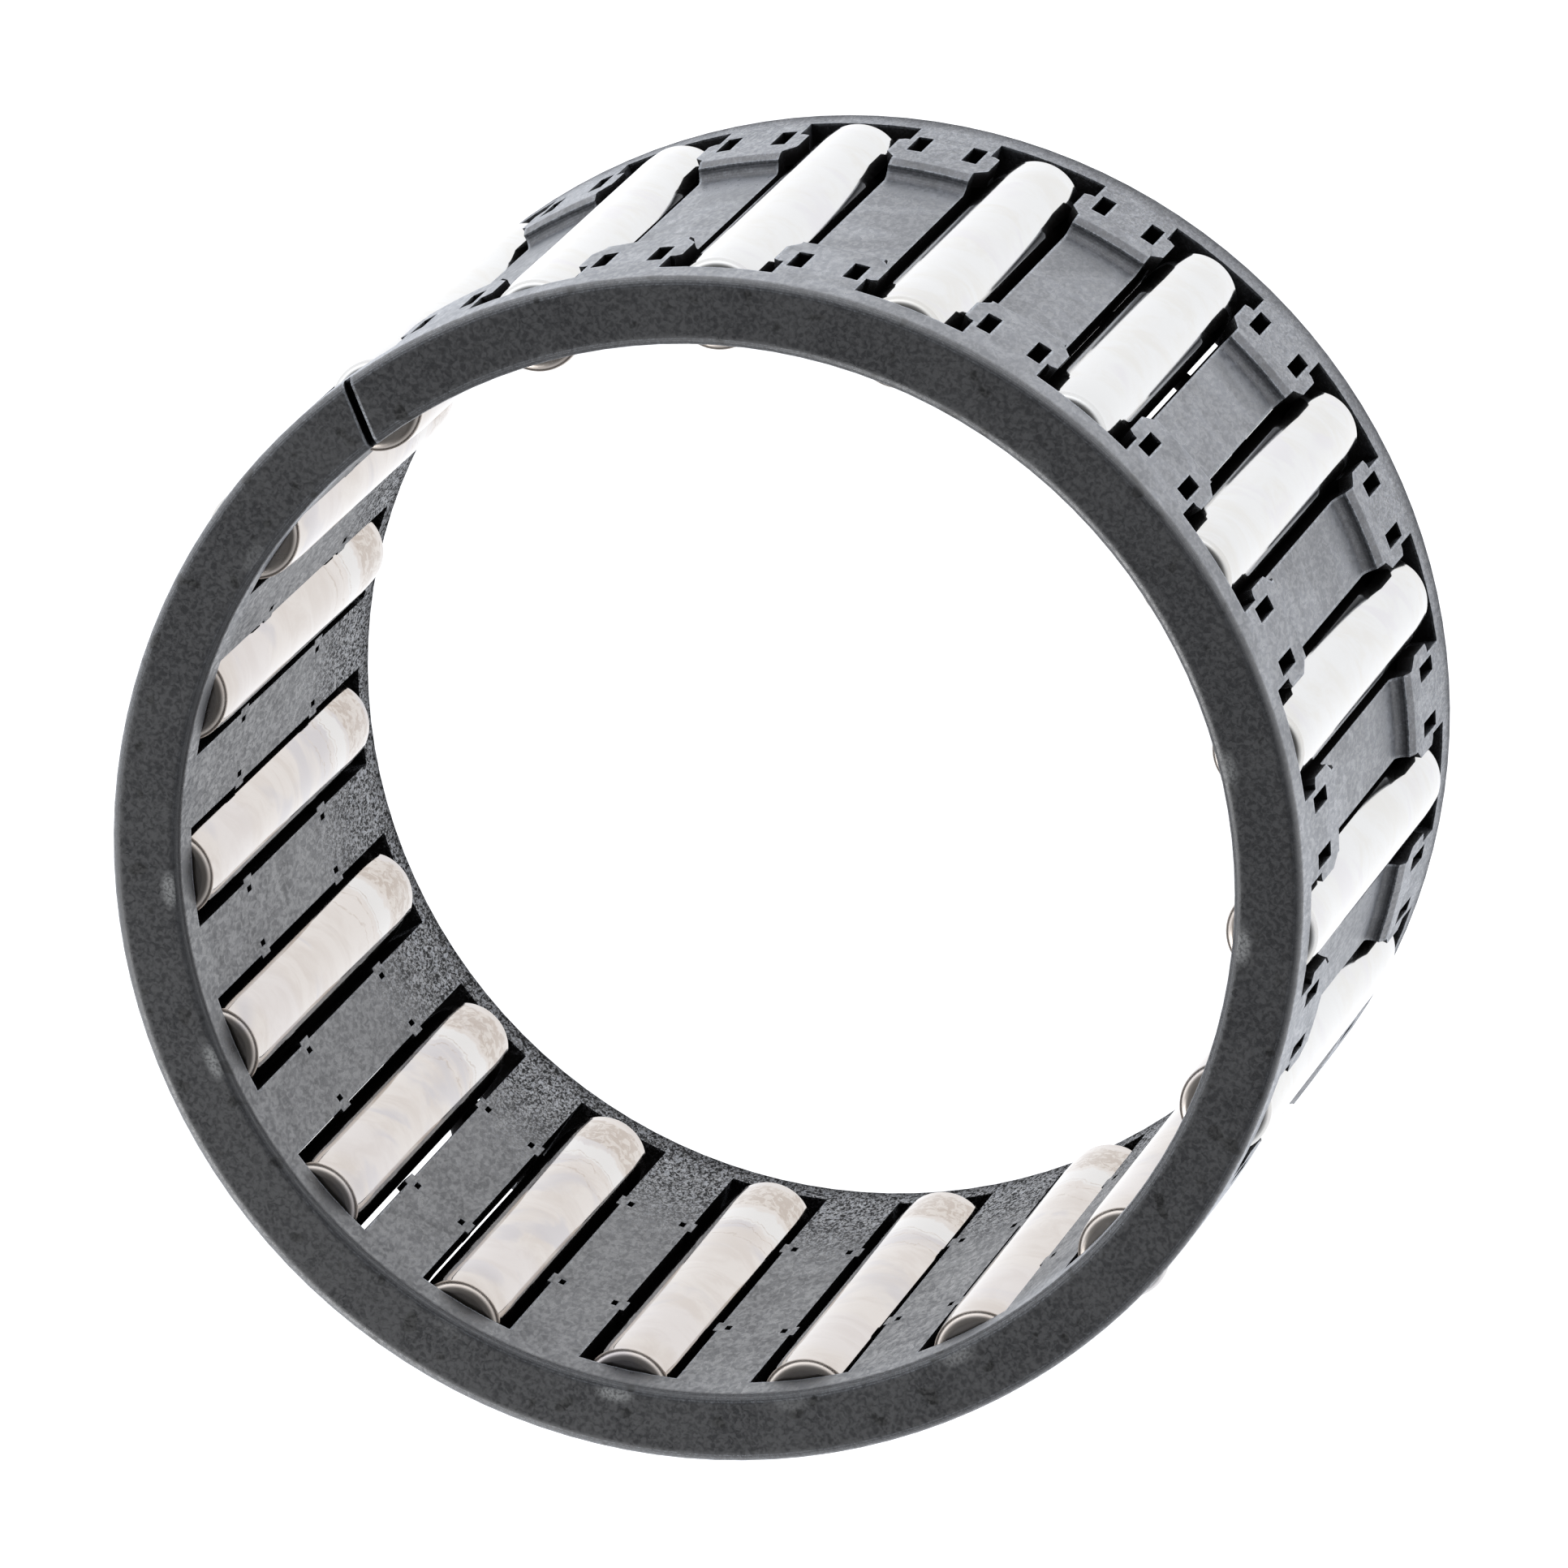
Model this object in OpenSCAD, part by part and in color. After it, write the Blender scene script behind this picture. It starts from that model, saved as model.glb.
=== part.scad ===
// Needle roller and cage assembly: one moulded window cage that holds loose needle rollers.
// The bearing axis is +Z. The cage stands on the XY plane, and the first needle lies on +X.

/* [Bearing] */
// Diameter of the shaft that the needles run on
shaft_d = 32; // [31.6:0.05:32.1]
// Diameter of each needle
needle_d = 3; // [2.9:0.01:3.02]
// Length of each needle
needle_l = 21.8; // [16:0.1:22.4]
// Radius of the rounded edge at each end of a needle
needle_edge = 0.32; // [0.1:0.02:0.6]
// Number of needles
needle_count = 19; // [12:1:19]
// Gap between a needle and the top end of its pocket
needle_top_gap = 0.2; // [0.05:0.05:0.3]

/* [Cage] */
// Outer diameter over the end lands
cage_od = 37.5; // [37.2:0.1:37.8]
// Bore diameter
cage_id = 33.2; // [33:0.1:33.4]
// Width along the axis
cage_w = 26; // [25.6:0.1:26]
// Width of the plain rim at each end
rim_w = 1.6; // [1.2:0.1:1.8]
// Radius on the rims' edges
rim_round = 0.3; // [0.1:0.05:0.45]
// Half angle of a pocket, between its centre and a side wall
pocket_half_angle = 5.45; // [5.35:0.05:5.6]

/* [Crossbars] */
// Distance from an end face to the end of the raised land
land_end = 6.3; // [6.2:0.1:7]
// Length of the sloped first stage of the step down to the crossbar
step_len = 0.45; // [0.3:0.05:0.6]
// Drop of the sloped first stage of the step
step_drop = 0.14; // [0.1:0.02:0.2]
// Length of the hollow second stage of the step
step_hollow = 0.45; // [0.3:0.05:0.9]
// Total depth of the crossbar's outer face below the land
bar_depth = 0.56; // [0.4:0.02:0.7]

/* [Retaining claws] */
// Half width of the mouth that the outer claws and the inner noses leave
mouth_half = 1.45; // [1.43:0.01:1.48]
// Radial thickness of an outer claw
claw_t = 0.6; // [0.4:0.05:0.62]
// Distance from an end face to the top of a claw
claw_start = 3.35; // [3.2:0.05:3.5]
// Distance from an end face to the foot of a claw
claw_end = 6.1; // [5.9:0.05:6.15]
// Radial thickness of an inner nose
nose_t = 0.3; // [0.2:0.05:0.3]
// Length of an inner nose
nose_l = 1; // [0.8:0.1:2]
// Distance from the middle of the cage to the inner noses
nose_z = 5; // [4:0.1:6]

/* [Relief pits] */
// Angle from a pocket's centre to the outer pits behind the claws
claw_pit_angle = 6.75; // [6.7:0.05:7]
// Depth of an outer pit
claw_pit_depth = 0.9; // [0.6:0.05:1]
// Width of an outer pit
claw_pit_w = 0.48; // [0.3:0.02:0.5]
// Length of an outer pit
claw_pit_l = 2.05; // [1.4:0.05:2.2]
// Distance from an end face to the middle of an outer pit
claw_pit_z = 3.85; // [3.6:0.05:4.1]
// Angle from a pocket's centre to the inner pits behind the noses
nose_pit_angle = 6.4; // [6.3:0.05:6.8]
// Depth of an inner pit
nose_pit_depth = 0.15; // [0.1:0.05:0.4]
// Width of an inner pit
nose_pit_w = 0.18; // [0.14:0.02:0.3]
// Length of an inner pit
nose_pit_l = 0.5; // [0.4:0.1:1]

/* [End face groove] */
// Angle round the axis, from the first needle to the groove across the upper end face
groove_angle = 341; // [0:1:359]
// Width of the groove
groove_w = 0.25; // [0.15:0.05:0.6]
// Depth of the groove
groove_depth = 0.4; // [0.1:0.05:0.8]
// Slant of the groove away from the radius
groove_slant = -15; // [-20:1:20]

/* [Hidden] */
$fn = 96;
clearance = 1;                            // how far a cut runs past the surface it opens
pitch_r = (shaft_d + needle_d) / 2;       // radius of the circle through the needles' axes
cage_r = cage_od / 2;
bore_r = cage_id / 2;
bar_r = cage_r - bar_depth;               // radius of the crossbars' outer face
needle_step = 360 / needle_count;
needle_top = cage_w - rim_w - needle_top_gap;
claw_bevel = 0.18;                        // bevel on a claw's tip
cage_black = [0.16, 0.16, 0.17];
needle_steel = [0.82, 0.82, 0.8];

function needle_name(i) = str("needle_", i < 10 ? "0" : "", i);

// A quarter ellipse from the start angle, as the points of a rounded or hollow edge
function quarter(centre, size, start) =
    [for (a = [0 : 15 : 90]) [centre[0] + size[0] * cos(start + a), centre[1] + size[1] * sin(start + a)]];

// Outline of one end of the plain ring's half section, from the bore round to the crossbar's face
function end_outline() = concat(
    quarter([bore_r + rim_round, rim_round], [rim_round, rim_round], 180),
    quarter([cage_r - rim_round, rim_round], [rim_round, rim_round], 270),
    [[cage_r, land_end]],
    [for (a = [0 : 15 : 90])
        [bar_r + (bar_depth - step_drop) * (1 - sin(a)),
         land_end + step_len + step_hollow * (1 - cos(a))]]
);

// Half section of the plain ring, with its recessed waist between the two lands
module cage_section() {
    polygon(concat(
        end_outline(),
        [for (k = [len(end_outline()) - 1 : -1 : 0]) [end_outline()[k][0], cage_w - end_outline()[k][1]]]
    ));
}

// One claw beside the pocket on +X, at the lower end: it overhangs the needle from one side
module claw() {
    inner = cage_r - claw_t;
    root = cage_r * sin(pocket_half_angle) + clearance;
    translate([inner, 0, 0])
        rotate([90, 0, 90])
            linear_extrude(claw_t + clearance)
                polygon([
                    [root, claw_start], [mouth_half + claw_bevel, claw_start],
                    [mouth_half, claw_start + claw_bevel], [mouth_half, claw_end - 4 * claw_bevel],
                    [mouth_half + 2 * claw_bevel, claw_end], [root, claw_end]
                ]);
}

// One nose beside the pocket on +X, below the middle: it stops the needle from falling inwards
module nose() {
    translate([0, mouth_half, cage_w / 2 - nose_z - nose_l / 2])
        cube([bore_r + nose_t, clearance, nose_l]);
}

// Copies a shape to both sides of the pocket on +X, and to both ends of the cage
module four_ways() {
    for (side = [0, 1], end = [0, 1])
        translate([0, 0, end * cage_w])
            mirror([0, 0, end])
                mirror([0, side, 0])
                    children();
}

// The window that one needle lies in, less the claws and noses that hold it there
module pocket() {
    reach = cage_r + 2 * clearance;
    half = reach * tan(pocket_half_angle);
    difference() {
        translate([0, 0, rim_w])
            linear_extrude(cage_w - 2 * rim_w)
                polygon([[0, 0], [reach, -half], [reach, half]]);
        four_ways() {
            claw();
            nose();
        }
    }
}

// Slots behind one claw and one nose, which let them spring aside as a needle is pressed in
module relief_pits() {
    rotate([0, 0, claw_pit_angle])
        translate([cage_r - claw_pit_depth, -claw_pit_w / 2, claw_pit_z - claw_pit_l / 2])
            cube([claw_pit_depth + clearance, claw_pit_w, claw_pit_l]);
    rotate([0, 0, nose_pit_angle])
        translate([bore_r - clearance, -nose_pit_w / 2, cage_w / 2 - nose_z - nose_pit_l / 2])
            cube([clearance + nose_pit_depth, nose_pit_w, nose_pit_l]);
}

// The shallow slanting groove across the upper end face
module face_groove() {
    rotate([0, 0, groove_angle])
        translate([(cage_r + bore_r) / 2, 0, cage_w - groove_depth])
            rotate([0, 0, groove_slant])
                translate([-cage_r / 4, -groove_w / 2, 0])
                    cube([cage_r / 2, groove_w, groove_depth + clearance]);
}

module cage() {
    color(cage_black)
        difference() {
            rotate_extrude()
                cage_section();
            for (i = [0 : needle_count - 1])
                rotate([0, 0, i * needle_step]) {
                    pocket();
                    four_ways()
                        relief_pits();
                }
            face_groove();
        }
}

// Half section of a needle: flat ends joined to the barrel by rounded edges
module needle_section() {
    flat = needle_d / 2 - needle_edge;
    square([flat, needle_l]);
    translate([0, needle_edge])
        square([needle_d / 2, needle_l - 2 * needle_edge]);
    for (z = [needle_edge, needle_l - needle_edge])
        translate([flat, z])
            circle(needle_edge);
}

module needle(i) {
    color(needle_steel)
        rotate([0, 0, (i - 1) * needle_step])
            translate([pitch_r, 0, needle_top - needle_l])
                rotate_extrude()
                    needle_section();
}

cage();
for (i = [1 : needle_count])
    needle(i);
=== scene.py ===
"""Needle roller and cage assembly: materials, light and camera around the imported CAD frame."""

import math

import bpy
from mathutils import Matrix, Vector


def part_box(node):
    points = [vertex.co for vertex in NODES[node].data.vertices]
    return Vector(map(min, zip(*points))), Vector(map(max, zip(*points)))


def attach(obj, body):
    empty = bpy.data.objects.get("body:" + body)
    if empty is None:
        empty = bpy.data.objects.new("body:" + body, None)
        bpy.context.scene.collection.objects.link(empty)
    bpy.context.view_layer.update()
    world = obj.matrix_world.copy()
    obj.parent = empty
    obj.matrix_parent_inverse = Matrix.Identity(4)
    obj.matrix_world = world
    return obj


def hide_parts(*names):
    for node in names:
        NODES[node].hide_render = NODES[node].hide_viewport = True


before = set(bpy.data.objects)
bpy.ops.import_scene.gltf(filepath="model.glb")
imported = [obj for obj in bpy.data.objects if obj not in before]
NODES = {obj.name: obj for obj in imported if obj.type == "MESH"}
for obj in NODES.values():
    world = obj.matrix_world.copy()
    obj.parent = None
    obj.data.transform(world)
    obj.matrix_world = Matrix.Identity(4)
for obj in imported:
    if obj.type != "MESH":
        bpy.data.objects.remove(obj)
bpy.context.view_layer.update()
MM = 0.001
NEEDLES = sorted(n for n in NODES if n.startswith("needle_"))
cage_lo, cage_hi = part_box("cage")
TOP = cage_hi.z

# ---------------------------------------------------------------- node helpers


class Graph:
    """A material's nodes, with short calls for the ones used here."""

    def __init__(self, name):
        self.mat = bpy.data.materials.new(name)
        self.mat.use_nodes = True
        self.nt = self.mat.node_tree
        self.nt.nodes.clear()
        self.out = self.nt.nodes.new("ShaderNodeOutputMaterial")
        self.shader = self.nt.nodes.new("ShaderNodeBsdfPrincipled")
        self.link(self.shader.outputs[0], self.out.inputs["Surface"])

    def link(self, a, b):
        self.nt.links.new(a, b)

    def new(self, kind, **props):
        n = self.nt.nodes.new(kind)
        for k, v in props.items():
            setattr(n, k, v)
        return n

    def feed(self, socket, value):
        if isinstance(value, bpy.types.NodeSocket):
            self.link(value, socket)
        else:
            socket.default_value = value

    def coords(self):
        return self.new("ShaderNodeTexCoord").outputs["Object"]

    def xyz(self, vector):
        n = self.new("ShaderNodeSeparateXYZ")
        self.feed(n.inputs[0], vector)
        return n.outputs

    def maths(self, op, a, b=0.0, c=0.0):
        n = self.new("ShaderNodeMath", operation=op)
        for socket, value in zip(n.inputs, (a, b, c)):
            self.feed(socket, value)
        return n.outputs[0]

    def times(self, *values):
        total = values[0]
        for value in values[1:]:
            total = self.maths("MULTIPLY", total, value)
        return total

    def length(self, a, b):
        return self.maths("SQRT", self.maths("ADD", self.times(a, a), self.times(b, b)))

    def stretch(self, vector, scale):
        n = self.new("ShaderNodeMapping", vector_type="POINT")
        self.feed(n.inputs["Vector"], vector)
        n.inputs["Scale"].default_value = scale
        return n.outputs[0]

    def noise(self, vector, scale, detail=2.0, rough=0.5, distort=0.0):
        n = self.new("ShaderNodeTexNoise", noise_dimensions="3D")
        self.feed(n.inputs["Vector"], vector)
        n.inputs["Scale"].default_value = scale
        n.inputs["Detail"].default_value = detail
        n.inputs["Roughness"].default_value = rough
        n.inputs["Distortion"].default_value = distort
        return n.outputs["Fac"]

    def ramp(self, value, lo, hi, out_lo=0.0, out_hi=1.0):
        n = self.new("ShaderNodeMapRange", interpolation_type="SMOOTHSTEP")
        self.feed(n.inputs["Value"], value)
        for key, v in (("From Min", lo), ("From Max", hi), ("To Min", out_lo), ("To Max", out_hi)):
            self.feed(n.inputs[key], v)
        return n.outputs["Result"]

    def mix(self, factor, a, b):
        n = self.new("ShaderNodeMix", data_type="RGBA")
        n.clamp_factor = True
        self.feed(n.inputs[0], factor)
        self.feed(n.inputs[6], a)
        self.feed(n.inputs[7], b)
        return n.outputs[2]

    def bump(self, height, distance, strength=1.0, normal=None):
        n = self.new("ShaderNodeBump")
        self.feed(n.inputs["Height"], height)
        n.inputs["Distance"].default_value = distance
        n.inputs["Strength"].default_value = strength
        if normal is not None:
            self.link(normal, n.inputs["Normal"])
        return n.outputs[0]


def grey(v, tint=(1.0, 1.0, 1.0)):
    """A linear colour from one grey level and a tint."""
    return (v * tint[0], v * tint[1], v * tint[2], 1.0)


# ---------------------------------------------------------------- cage plastic

BORE_SIDE, OUTSIDE = 17.3 * MM, 17.9 * MM   # radii where the bore's finish ends and the outer one is full
PALE_EDGE_REACH = 0.16 * MM                       # width of the pale band at a sharp edge (rubbing wear and painted highlight both), and of the rounding in its shading
SLOT_REACH = 3.0 * MM                       # a surface with less free space than this lies in a slot and gets painted shade
SINK_R = 16.95 * MM                         # circle through the sink marks on the end faces
SINK_STEP = 2 * math.pi * 16.9 * MM / len(NEEDLES)      # from one sink mark to the next
SINK_HALF_LENGTH, SINK_HALF_WIDTH = 0.62 * MM, 0.30 * MM

FIBRE = grey(0.088, (0.95, 0.98, 1.13))
RESIN = grey(0.014, (0.97, 0.98, 1.06))
PLAIN = grey(0.030, (0.97, 0.985, 1.06))
DULL = grey(0.014, (0.98, 0.99, 1.03))
OUTSIDE_PAINTED_SHEEN = grey(0.17, (0.93, 0.98, 1.14))
EDGE_WEAR_AND_HIGHLIGHT = grey(0.62, (0.90, 0.97, 1.08))
SPECK = grey(0.004)
CREST = grey(0.36, (0.90, 0.96, 1.10))
SINK = grey(0.28, (0.98, 1.0, 1.0))
SHADE_AND_PIT_DARK = grey(0.0035, (1.1, 1.0, 1.0))


def sink_marks(g, x, y, radius):
    """Faint ovals over the needles' ends, each of its own strength and some left out."""
    turn = g.maths("MULTIPLY", g.maths("ARCTAN2", y, x), len(NEEDLES) / (2 * math.pi))
    index = g.maths("ROUND", turn)
    pick = g.new("ShaderNodeTexWhiteNoise", noise_dimensions="1D")
    g.link(index, pick.inputs["W"])
    swing = g.maths("MULTIPLY", g.maths("SUBTRACT", turn, index), SINK_STEP / SINK_HALF_LENGTH)
    reach = g.maths("DIVIDE", g.maths("SUBTRACT", radius, SINK_R), SINK_HALF_WIDTH)
    strength = g.ramp(pick.outputs["Value"], 0.45, 0.8)
    return g.times(g.ramp(g.length(swing, reach), 1.25, 0.35), strength)


def cage_plastic():
    """Glass-fibre filled nylon: a pale edge band of painted highlight and wear, painted shade that turns
    slots black, a lighter painted sheen outside, and a pitted bore at the lower end.
    """
    g = Graph("moulded_nylon")
    p = g.coords()
    x, y, z = g.xyz(p)
    along = g.stretch(p, (1.0, 1.0, 0.36))
    fibres = g.noise(along, 6200.0, 2.0, 0.6, 0.7)
    grain = g.noise(along, 11000.0, 2.0, 0.55, 0.3)
    pitted = g.noise(g.stretch(p, (1.0, 1.0, 0.42)), 10500.0, 1.5, 0.55, 0.9)
    cloud = g.noise(p, 420.0, 5.0, 0.62, 0.9)
    specks = g.noise(p, 1300.0, 1.0, 0.5, 0.0)

    # where on the cage: both end faces, the upper one, walls, outside, lower part of the bore
    middle = g.maths("ABSOLUTE", g.maths("SUBTRACT", z, TOP / 2))
    radius = g.length(x, y)
    ends = g.ramp(middle, TOP / 2 - 0.03 * MM, TOP / 2 - 0.01 * MM)
    end_face = g.ramp(z, TOP - 0.5 * MM, TOP - 0.2 * MM)
    walls = g.maths("SUBTRACT", 1.0, end_face)
    outside = g.times(g.ramp(radius, BORE_SIDE, OUTSIDE), walls)
    lower = g.ramp(z, 13.0 * MM, 1.5 * MM)
    coarse = g.times(lower, g.ramp(radius, BORE_SIDE, 16.9 * MM, 0.25, 1.0))

    # how near a sharp edge is, and how open the surface is
    rounded = g.new("ShaderNodeBevel", samples=4)
    rounded.inputs["Radius"].default_value = PALE_EDGE_REACH
    plain = g.new("ShaderNodeNewGeometry").outputs["Normal"]
    dot = g.new("ShaderNodeVectorMath", operation="DOT_PRODUCT")
    g.link(rounded.outputs[0], dot.inputs[0])
    g.link(plain, dot.inputs[1])
    edge = g.ramp(dot.outputs["Value"], 0.999, 0.93)
    shade = g.new("ShaderNodeAmbientOcclusion", samples=6)
    shade.inputs["Distance"].default_value = SLOT_REACH
    shade.inputs["Color"].default_value = (1, 1, 1, 1)
    # painted shade: corners darken through the ambient occlusion mask
    corner = g.ramp(shade.outputs["AO"], 0.50, 0.90, 0.55, 1.0)
    open_air = g.times(g.ramp(shade.outputs["AO"], 0.44, 0.66), corner)

    # colour, one layer over the other
    base = g.mix(g.ramp(fibres, 0.38, 0.66), RESIN, FIBRE)
    even = g.maths("MAXIMUM", g.ramp(coarse, 0.0, 1.0, 0.65, 0.15), g.times(end_face, 0.93))
    base = g.mix(even, base, PLAIN)
    base = g.mix(g.times(g.ramp(cloud, 0.40, 0.66, 0.0, 0.60), walls), base, DULL)
    # painted sheen: the outer surfaces are lightened and tinted blue where grazing light makes them
    # brighter; the cloud noise only varies how much
    base = g.mix(g.times(outside, g.ramp(cloud, 0.56, 0.34, 0.18, 0.42)), base, OUTSIDE_PAINTED_SHEEN)
    # painted highlight: sharp edges get a pale band, partly rubbing wear and partly a painted edge
    # highlight
    base = g.mix(g.times(edge, g.ramp(grain, 0.35, 0.65, 0.2, 0.9)), base, EDGE_WEAR_AND_HIGHLIGHT)
    base = g.mix(g.times(g.ramp(specks, 0.66, 0.72), g.ramp(outside, 0.0, 1.0, 0.9, 0.25)), base, SPECK)
    base = g.mix(g.times(g.ramp(pitted, 0.52, 0.66), coarse, 0.9), base, CREST)
    mark = g.times(sink_marks(g, x, y, radius), ends, g.ramp(grain, 0.35, 0.6, 0.3, 1.0))
    base = g.mix(g.times(mark, 0.85), base, SINK)
    g.link(base, g.shader.inputs["Base Color"])

    # gloss, sheen and fine relief
    rough = g.maths("ADD", g.ramp(fibres, 0.34, 0.66, 0.26, 0.48), g.ramp(cloud, 0.35, 0.7, 0.0, 0.10))
    g.link(rough, g.shader.inputs["Roughness"])
    g.shader.inputs["IOR"].default_value = 1.78
    g.shader.inputs["Sheen Weight"].default_value = 0.50
    g.shader.inputs["Sheen Roughness"].default_value = 0.30
    g.shader.inputs["Sheen Tint"].default_value = (0.84, 0.90, 1.0, 1.0)
    height = g.maths("ADD", g.times(fibres, 0.7), g.times(grain, 0.3))
    deeper = g.ramp(z, TOP, TOP - 6.0 * MM, 0.05, 0.26)
    height = g.times(height, g.maths("ADD", deeper, coarse))
    g.link(g.bump(height, 0.055 * MM, 1.0, rounded.outputs[0]), g.shader.inputs["Normal"])

    # painted shade: slots, corners and other closed-in places are mixed to black by ambient occlusion,
    # and the pits of the bore are dark grain
    shade_and_pit_bsdf = g.new("ShaderNodeBsdfDiffuse")
    shade_and_pit_bsdf.inputs["Color"].default_value = SHADE_AND_PIT_DARK
    pits = g.times(g.ramp(pitted, 0.54, 0.40), g.ramp(coarse, 0.0, 1.0, 0.0, 0.86))
    both = g.new("ShaderNodeMixShader")
    g.link(g.times(open_air, g.maths("SUBTRACT", 1.0, pits)), both.inputs["Fac"])
    g.link(shade_and_pit_bsdf.outputs[0], both.inputs[1])
    g.link(g.shader.outputs[0], both.inputs[2])
    g.link(both.outputs[0], g.out.inputs["Surface"])
    return g.mat


# ---------------------------------------------------------------- needle steel

# each pair is the colour away from the shaft and the one towards it
CLEAN = grey(0.56, (1.0, 0.995, 0.975)), grey(0.55, (1.0, 0.915, 0.84))
CREAM = grey(0.535, (1.0, 0.975, 0.92)), grey(0.495, (1.0, 0.89, 0.80))
LILAC = grey(0.52, (1.0, 0.97, 0.985)), grey(0.43, (1.0, 0.94, 0.955))
TAN_DEEP, TAN_PALE = grey(0.34, (1.0, 0.79, 0.62)), grey(0.50, (1.0, 0.89, 0.78))
PAINTED_PALE_BAND = grey(0.58, (1.0, 0.97, 0.93))
ROSE = grey(0.53, (1.0, 0.93, 0.92))


def needle_steel():
    """Ground steel with faint oil stains, and tan and pale bands at the lower end on the shaft's side:
    painted reflections of the crowned end, the tan partly a wear tint.
    """
    g = Graph("ground_bearing_steel")
    p = g.coords()
    x, y, z = g.xyz(p)
    low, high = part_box(NEEDLES[0])
    shaft_side = g.ramp(g.length(x, y), 17.9 * MM, 17.0 * MM)

    streak = g.noise(g.stretch(p, (1.0, 1.0, 0.45)), 700.0, 4.0, 0.6, 1.0)
    stain = g.noise(p, 420.0, 4.0, 0.62, 1.2)
    patch = g.noise(p, 260.0, 3.0, 0.5, 0.8)
    clean, cream, lilac = (g.mix(shaft_side, *pair) for pair in (CLEAN, CREAM, LILAC))
    body = g.mix(g.ramp(stain, 0.40, 0.66), clean, cream)
    body = g.mix(g.ramp(patch, 0.54, 0.66, 0.0, 0.8), body, lilac)

    # bands along the needle, in mm from its lower end, with uneven limits; the tan and pale bands near
    # the lower end are painted reflections of the crowned end, the tan partly a wear tint
    rise = g.maths("SUBTRACT", z, low.z)
    wave = g.maths("ADD", rise, g.maths("MULTIPLY_ADD", streak, 2.2 * MM, -1.1 * MM))

    def band(start, end, soft, strength):
        first, last, soft = start * MM, end * MM, soft * MM
        inside = g.times(g.ramp(wave, first, first + soft), g.ramp(wave, last + soft, last))
        return g.times(inside, shaft_side, strength)

    mottle = g.ramp(g.noise(g.stretch(p, (1.0, 1.0, 0.6)), 3600.0, 3.0, 0.6, 0.8), 0.42, 0.60)
    tan = g.mix(mottle, TAN_DEEP, TAN_PALE)
    body = g.mix(band(0.6, 3.2, 0.25, 0.85), body, tan)
    body = g.mix(band(3.6, 5.2, 0.3, 0.9), body, PAINTED_PALE_BAND)
    for start in (5.0, 5.8, 6.9):
        body = g.mix(band(start, start + 0.12, 0.1, 0.55), body, tan)
    body = g.mix(band(15.5, 19.5, 1.2, 0.35), body, ROSE)
    g.link(body, g.shader.inputs["Base Color"])
    g.shader.inputs["Metallic"].default_value = 1.0

    # the ground barrel is bright, the tumbled ends are dull
    reach = g.maths("ABSOLUTE", g.maths("SUBTRACT", z, (low.z + high.z) / 2))
    half = (high.z - low.z) / 2
    tumbled = g.ramp(reach, half - 0.34 * MM, half - 0.22 * MM)
    rough = g.ramp(streak, 0.3, 0.7, 0.05, 0.09)
    g.link(g.maths("ADD", rough, g.times(tumbled, 0.22)), g.shader.inputs["Roughness"])
    scratch = g.noise(g.stretch(p, (0.06, 0.06, 1.0)), 9000.0, 2.0, 0.5)
    g.link(g.bump(scratch, 0.003 * MM, 0.15), g.shader.inputs["Normal"])
    return g.mat


def dress(obj, mat):
    """Gives every face of a piece one material."""
    if not obj.material_slots:
        obj.data.materials.append(mat)
    for s in obj.material_slots:
        s.material = mat


dress(NODES["cage"], cage_plastic())

# ---------------------------------------------------------------- needles

TURNS, ARC, STEPS = 96, 10, 8     # points round a needle, on its edge's quarter circle and on its relief
EDGE = 0.32 * MM                  # radius of the rounding at a needle's end
RELIEF, DROP = 2.2 * MM, 0.05 * MM      # length and depth of the barrel's relief towards an end
HOLD = 0.02 * MM                  # short step that keeps a flat or a barrel from shading into the curve


def needle_mesh(name, centre, low, high, radius):
    """A needle turned round its own axis: flat ends, true round edges, a barrel relieved at both ends."""
    flat = radius - DROP - EDGE
    lower = [(flat - HOLD, low)]
    for k in range(ARC + 1):
        a = math.radians(90.0 * k / ARC)
        lower.append((flat + EDGE * math.sin(a), low + EDGE * (1.0 - math.cos(a))))
    for k in range(STEPS + 1):
        lower.append((radius - DROP * (1.0 - k / STEPS) ** 2, low + EDGE + HOLD + RELIEF * k / STEPS))
    upper = [(r, low + high - z) for r, z in reversed(lower)]
    rings = lower + upper
    verts = [(centre[0] + r * math.cos(2 * math.pi * s / TURNS),
              centre[1] + r * math.sin(2 * math.pi * s / TURNS), z)
             for r, z in rings for s in range(TURNS)]
    faces = []
    for k in range(len(rings) - 1):
        here, above = k * TURNS, (k + 1) * TURNS
        for s in range(TURNS):
            e = (s + 1) % TURNS
            faces.append((here + s, here + e, above + e, above + s))
    faces.append(tuple(reversed(range(TURNS))))
    last = (len(rings) - 1) * TURNS
    faces.append(tuple(range(last, last + TURNS)))
    mesh = bpy.data.meshes.new(name)
    mesh.from_pydata(verts, [], faces)
    mesh.polygons.foreach_set("use_smooth", [True] * len(mesh.polygons))
    return mesh


steel = needle_steel()
for name in NEEDLES:
    low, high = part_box(name)
    centre = ((low.x + high.x) / 2, (low.y + high.y) / 2)
    label = name.replace("needle", "roller")
    mesh = needle_mesh(label, centre, low.z, high.z, (high.x - low.x) / 2)
    mesh.materials.append(steel)
    roller = bpy.data.objects.new(label, mesh)
    bpy.context.scene.collection.objects.link(roller)
    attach(roller, name)
    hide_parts(name)

# ---------------------------------------------------------------- floor

HALF_FLOOR = 6.0
FLOOR_GAP = 0.02 * MM     # keeps the floor clear of the cage's lower face


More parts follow.
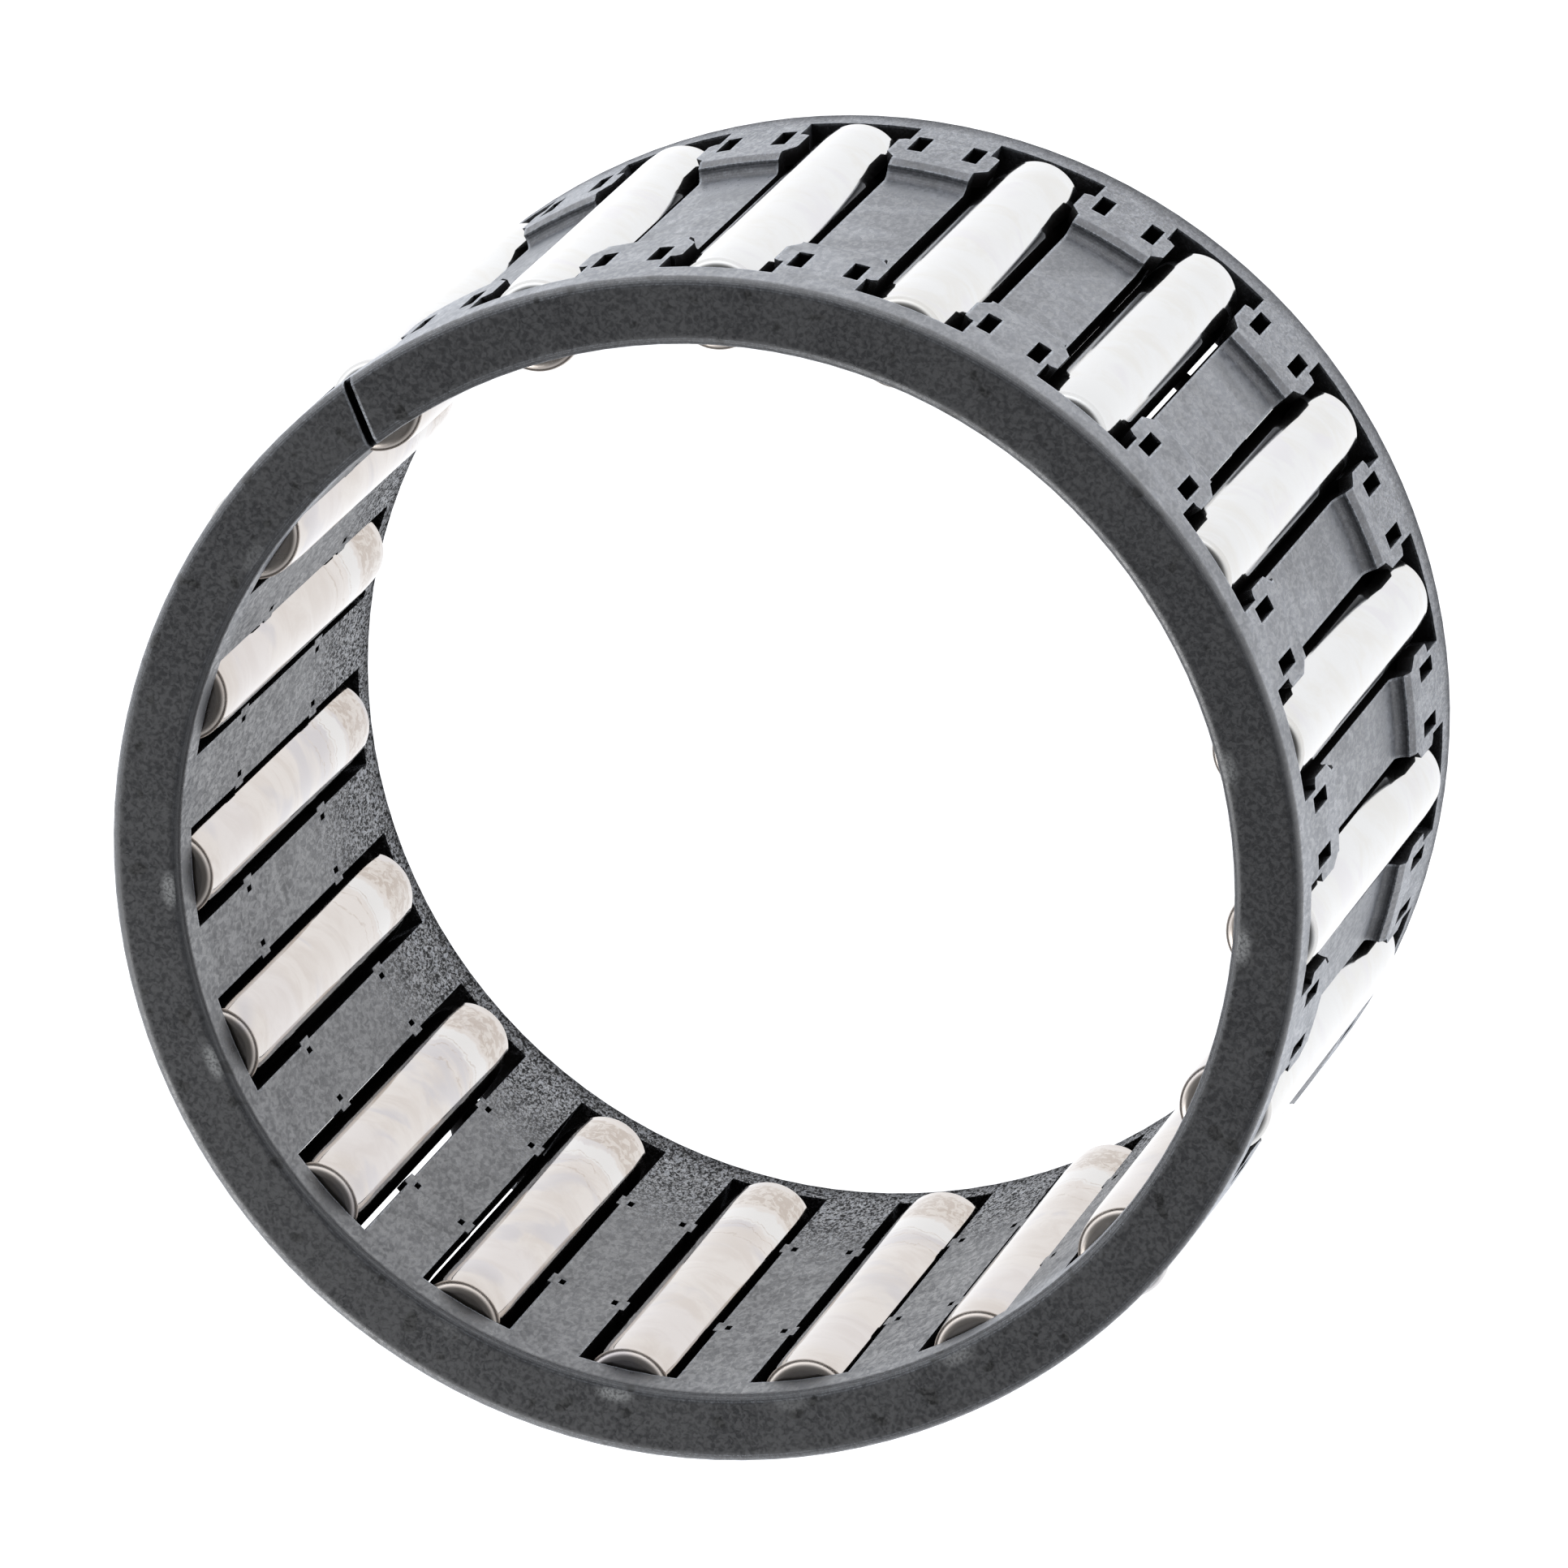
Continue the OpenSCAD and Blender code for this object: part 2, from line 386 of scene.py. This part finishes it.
def floor():
    """A wide white floor that gives off a little light of its own."""
    g = Graph("pale_floor")
    p = g.coords()
    tone = g.noise(p, 60.0, 3.0, 0.5)
    g.link(g.mix(g.ramp(tone, 0.3, 0.7), grey(0.27), grey(0.29)), g.shader.inputs["Base Color"])
    g.shader.inputs["Roughness"].default_value = 0.7
    g.shader.inputs["Emission Color"].default_value = (0.985, 0.995, 1.02, 1)
    g.shader.inputs["Emission Strength"].default_value = 1.22
    mesh = bpy.data.meshes.new("floor")
    s = HALF_FLOOR
    mesh.from_pydata([(-s, -s, 0), (s, -s, 0), (s, s, 0), (-s, s, 0)], [], [(0, 1, 2, 3)])
    obj = bpy.data.objects.new("floor", mesh)
    obj.location.z = cage_lo.z - FLOOR_GAP
    mesh.materials.append(g.mat)
    bpy.context.scene.collection.objects.link(obj)


floor()

# ---------------------------------------------------------------- light

BRIGHT_SIDE = (0.50, -0.16, 0.0)   # the dome is brighter towards this side
DOME_TINT = (0.955, 0.975, 1.01, 1.0)


def dome():
    """A soft white dome, brightest low down and darker overhead, as over a lit table."""
    world = bpy.data.worlds.new("studio")
    bpy.context.scene.world = world
    world.use_nodes = True
    nt = world.node_tree
    back = nt.nodes["Background"]
    way = nt.nodes.new("ShaderNodeTexCoord")
    split = nt.nodes.new("ShaderNodeSeparateXYZ")
    ramp = nt.nodes.new("ShaderNodeMapRange")
    ramp.interpolation_type = "SMOOTHSTEP"
    nt.links.new(way.outputs["Generated"], split.inputs[0])
    nt.links.new(split.outputs["Z"], ramp.inputs["Value"])
    for key, v in (("From Min", 0.15), ("From Max", 0.80), ("To Min", 1.6), ("To Max", 0.12)):
        ramp.inputs[key].default_value = v
    lean = nt.nodes.new("ShaderNodeVectorMath")
    lean.operation = "DOT_PRODUCT"
    nt.links.new(way.outputs["Generated"], lean.inputs[0])
    lean.inputs[1].default_value = BRIGHT_SIDE
    gain = nt.nodes.new("ShaderNodeMath")
    gain.operation = "MULTIPLY_ADD"
    nt.links.new(lean.outputs["Value"], gain.inputs[0])
    nt.links.new(ramp.outputs["Result"], gain.inputs[1])
    nt.links.new(ramp.outputs["Result"], gain.inputs[2])
    nt.links.new(gain.outputs[0], back.inputs["Strength"])
    back.inputs["Color"].default_value = DOME_TINT


def softbox(name, place, size, power):
    """A large square lamp that faces the bearing."""
    lamp = bpy.data.lights.new(name, "AREA")
    lamp.shape = "SQUARE"
    lamp.size = size
    lamp.energy = power
    obj = bpy.data.objects.new(name, lamp)
    bpy.context.scene.collection.objects.link(obj)
    obj.location = place
    aim = Vector((0, 0, TOP / 2)) - Vector(place)
    obj.rotation_mode = "QUATERNION"
    obj.rotation_quaternion = aim.to_track_quat("-Z", "Y")
    obj.visible_camera = False


dome()
softbox("side_light", (0.04, 0.20, 0.14), 0.16, 0.38)

# ---------------------------------------------------------------- camera

TURN = math.radians(-143.905)                   # brings a needle of the pictured pattern onto +X
BACKWARDS = Vector((0.2130, 0.2189, 0.9522))    # the camera's own axes and place, before that turn
UPWARDS = Vector((0.0, 0.9745, -0.2241))
PLACE = Vector((0.1346, 0.1384, TOP + 0.5897))

turn = Matrix.Rotation(TURN, 3, "Z")
back = turn @ BACKWARDS.normalized()
up = turn @ UPWARDS
right = up.cross(back).normalized()
up = back.cross(right).normalized()
cam_data = bpy.data.cameras.new("camera")
cam = bpy.data.objects.new("camera", cam_data)
bpy.context.scene.collection.objects.link(cam)
cam_data.sensor_width = 36.0
cam_data.lens = 462.7
cam_data.clip_start = 0.01
cam_data.clip_end = 50.0
cam.location = turn @ PLACE
cam.rotation_mode = "QUATERNION"
cam.rotation_quaternion = Matrix((right, up, back)).transposed().to_quaternion()
bpy.context.scene.camera = cam

view = bpy.context.scene.view_settings
view.view_transform = "Standard"
view.look = "None"
view.exposure = 0.0
view.gamma = 1.0
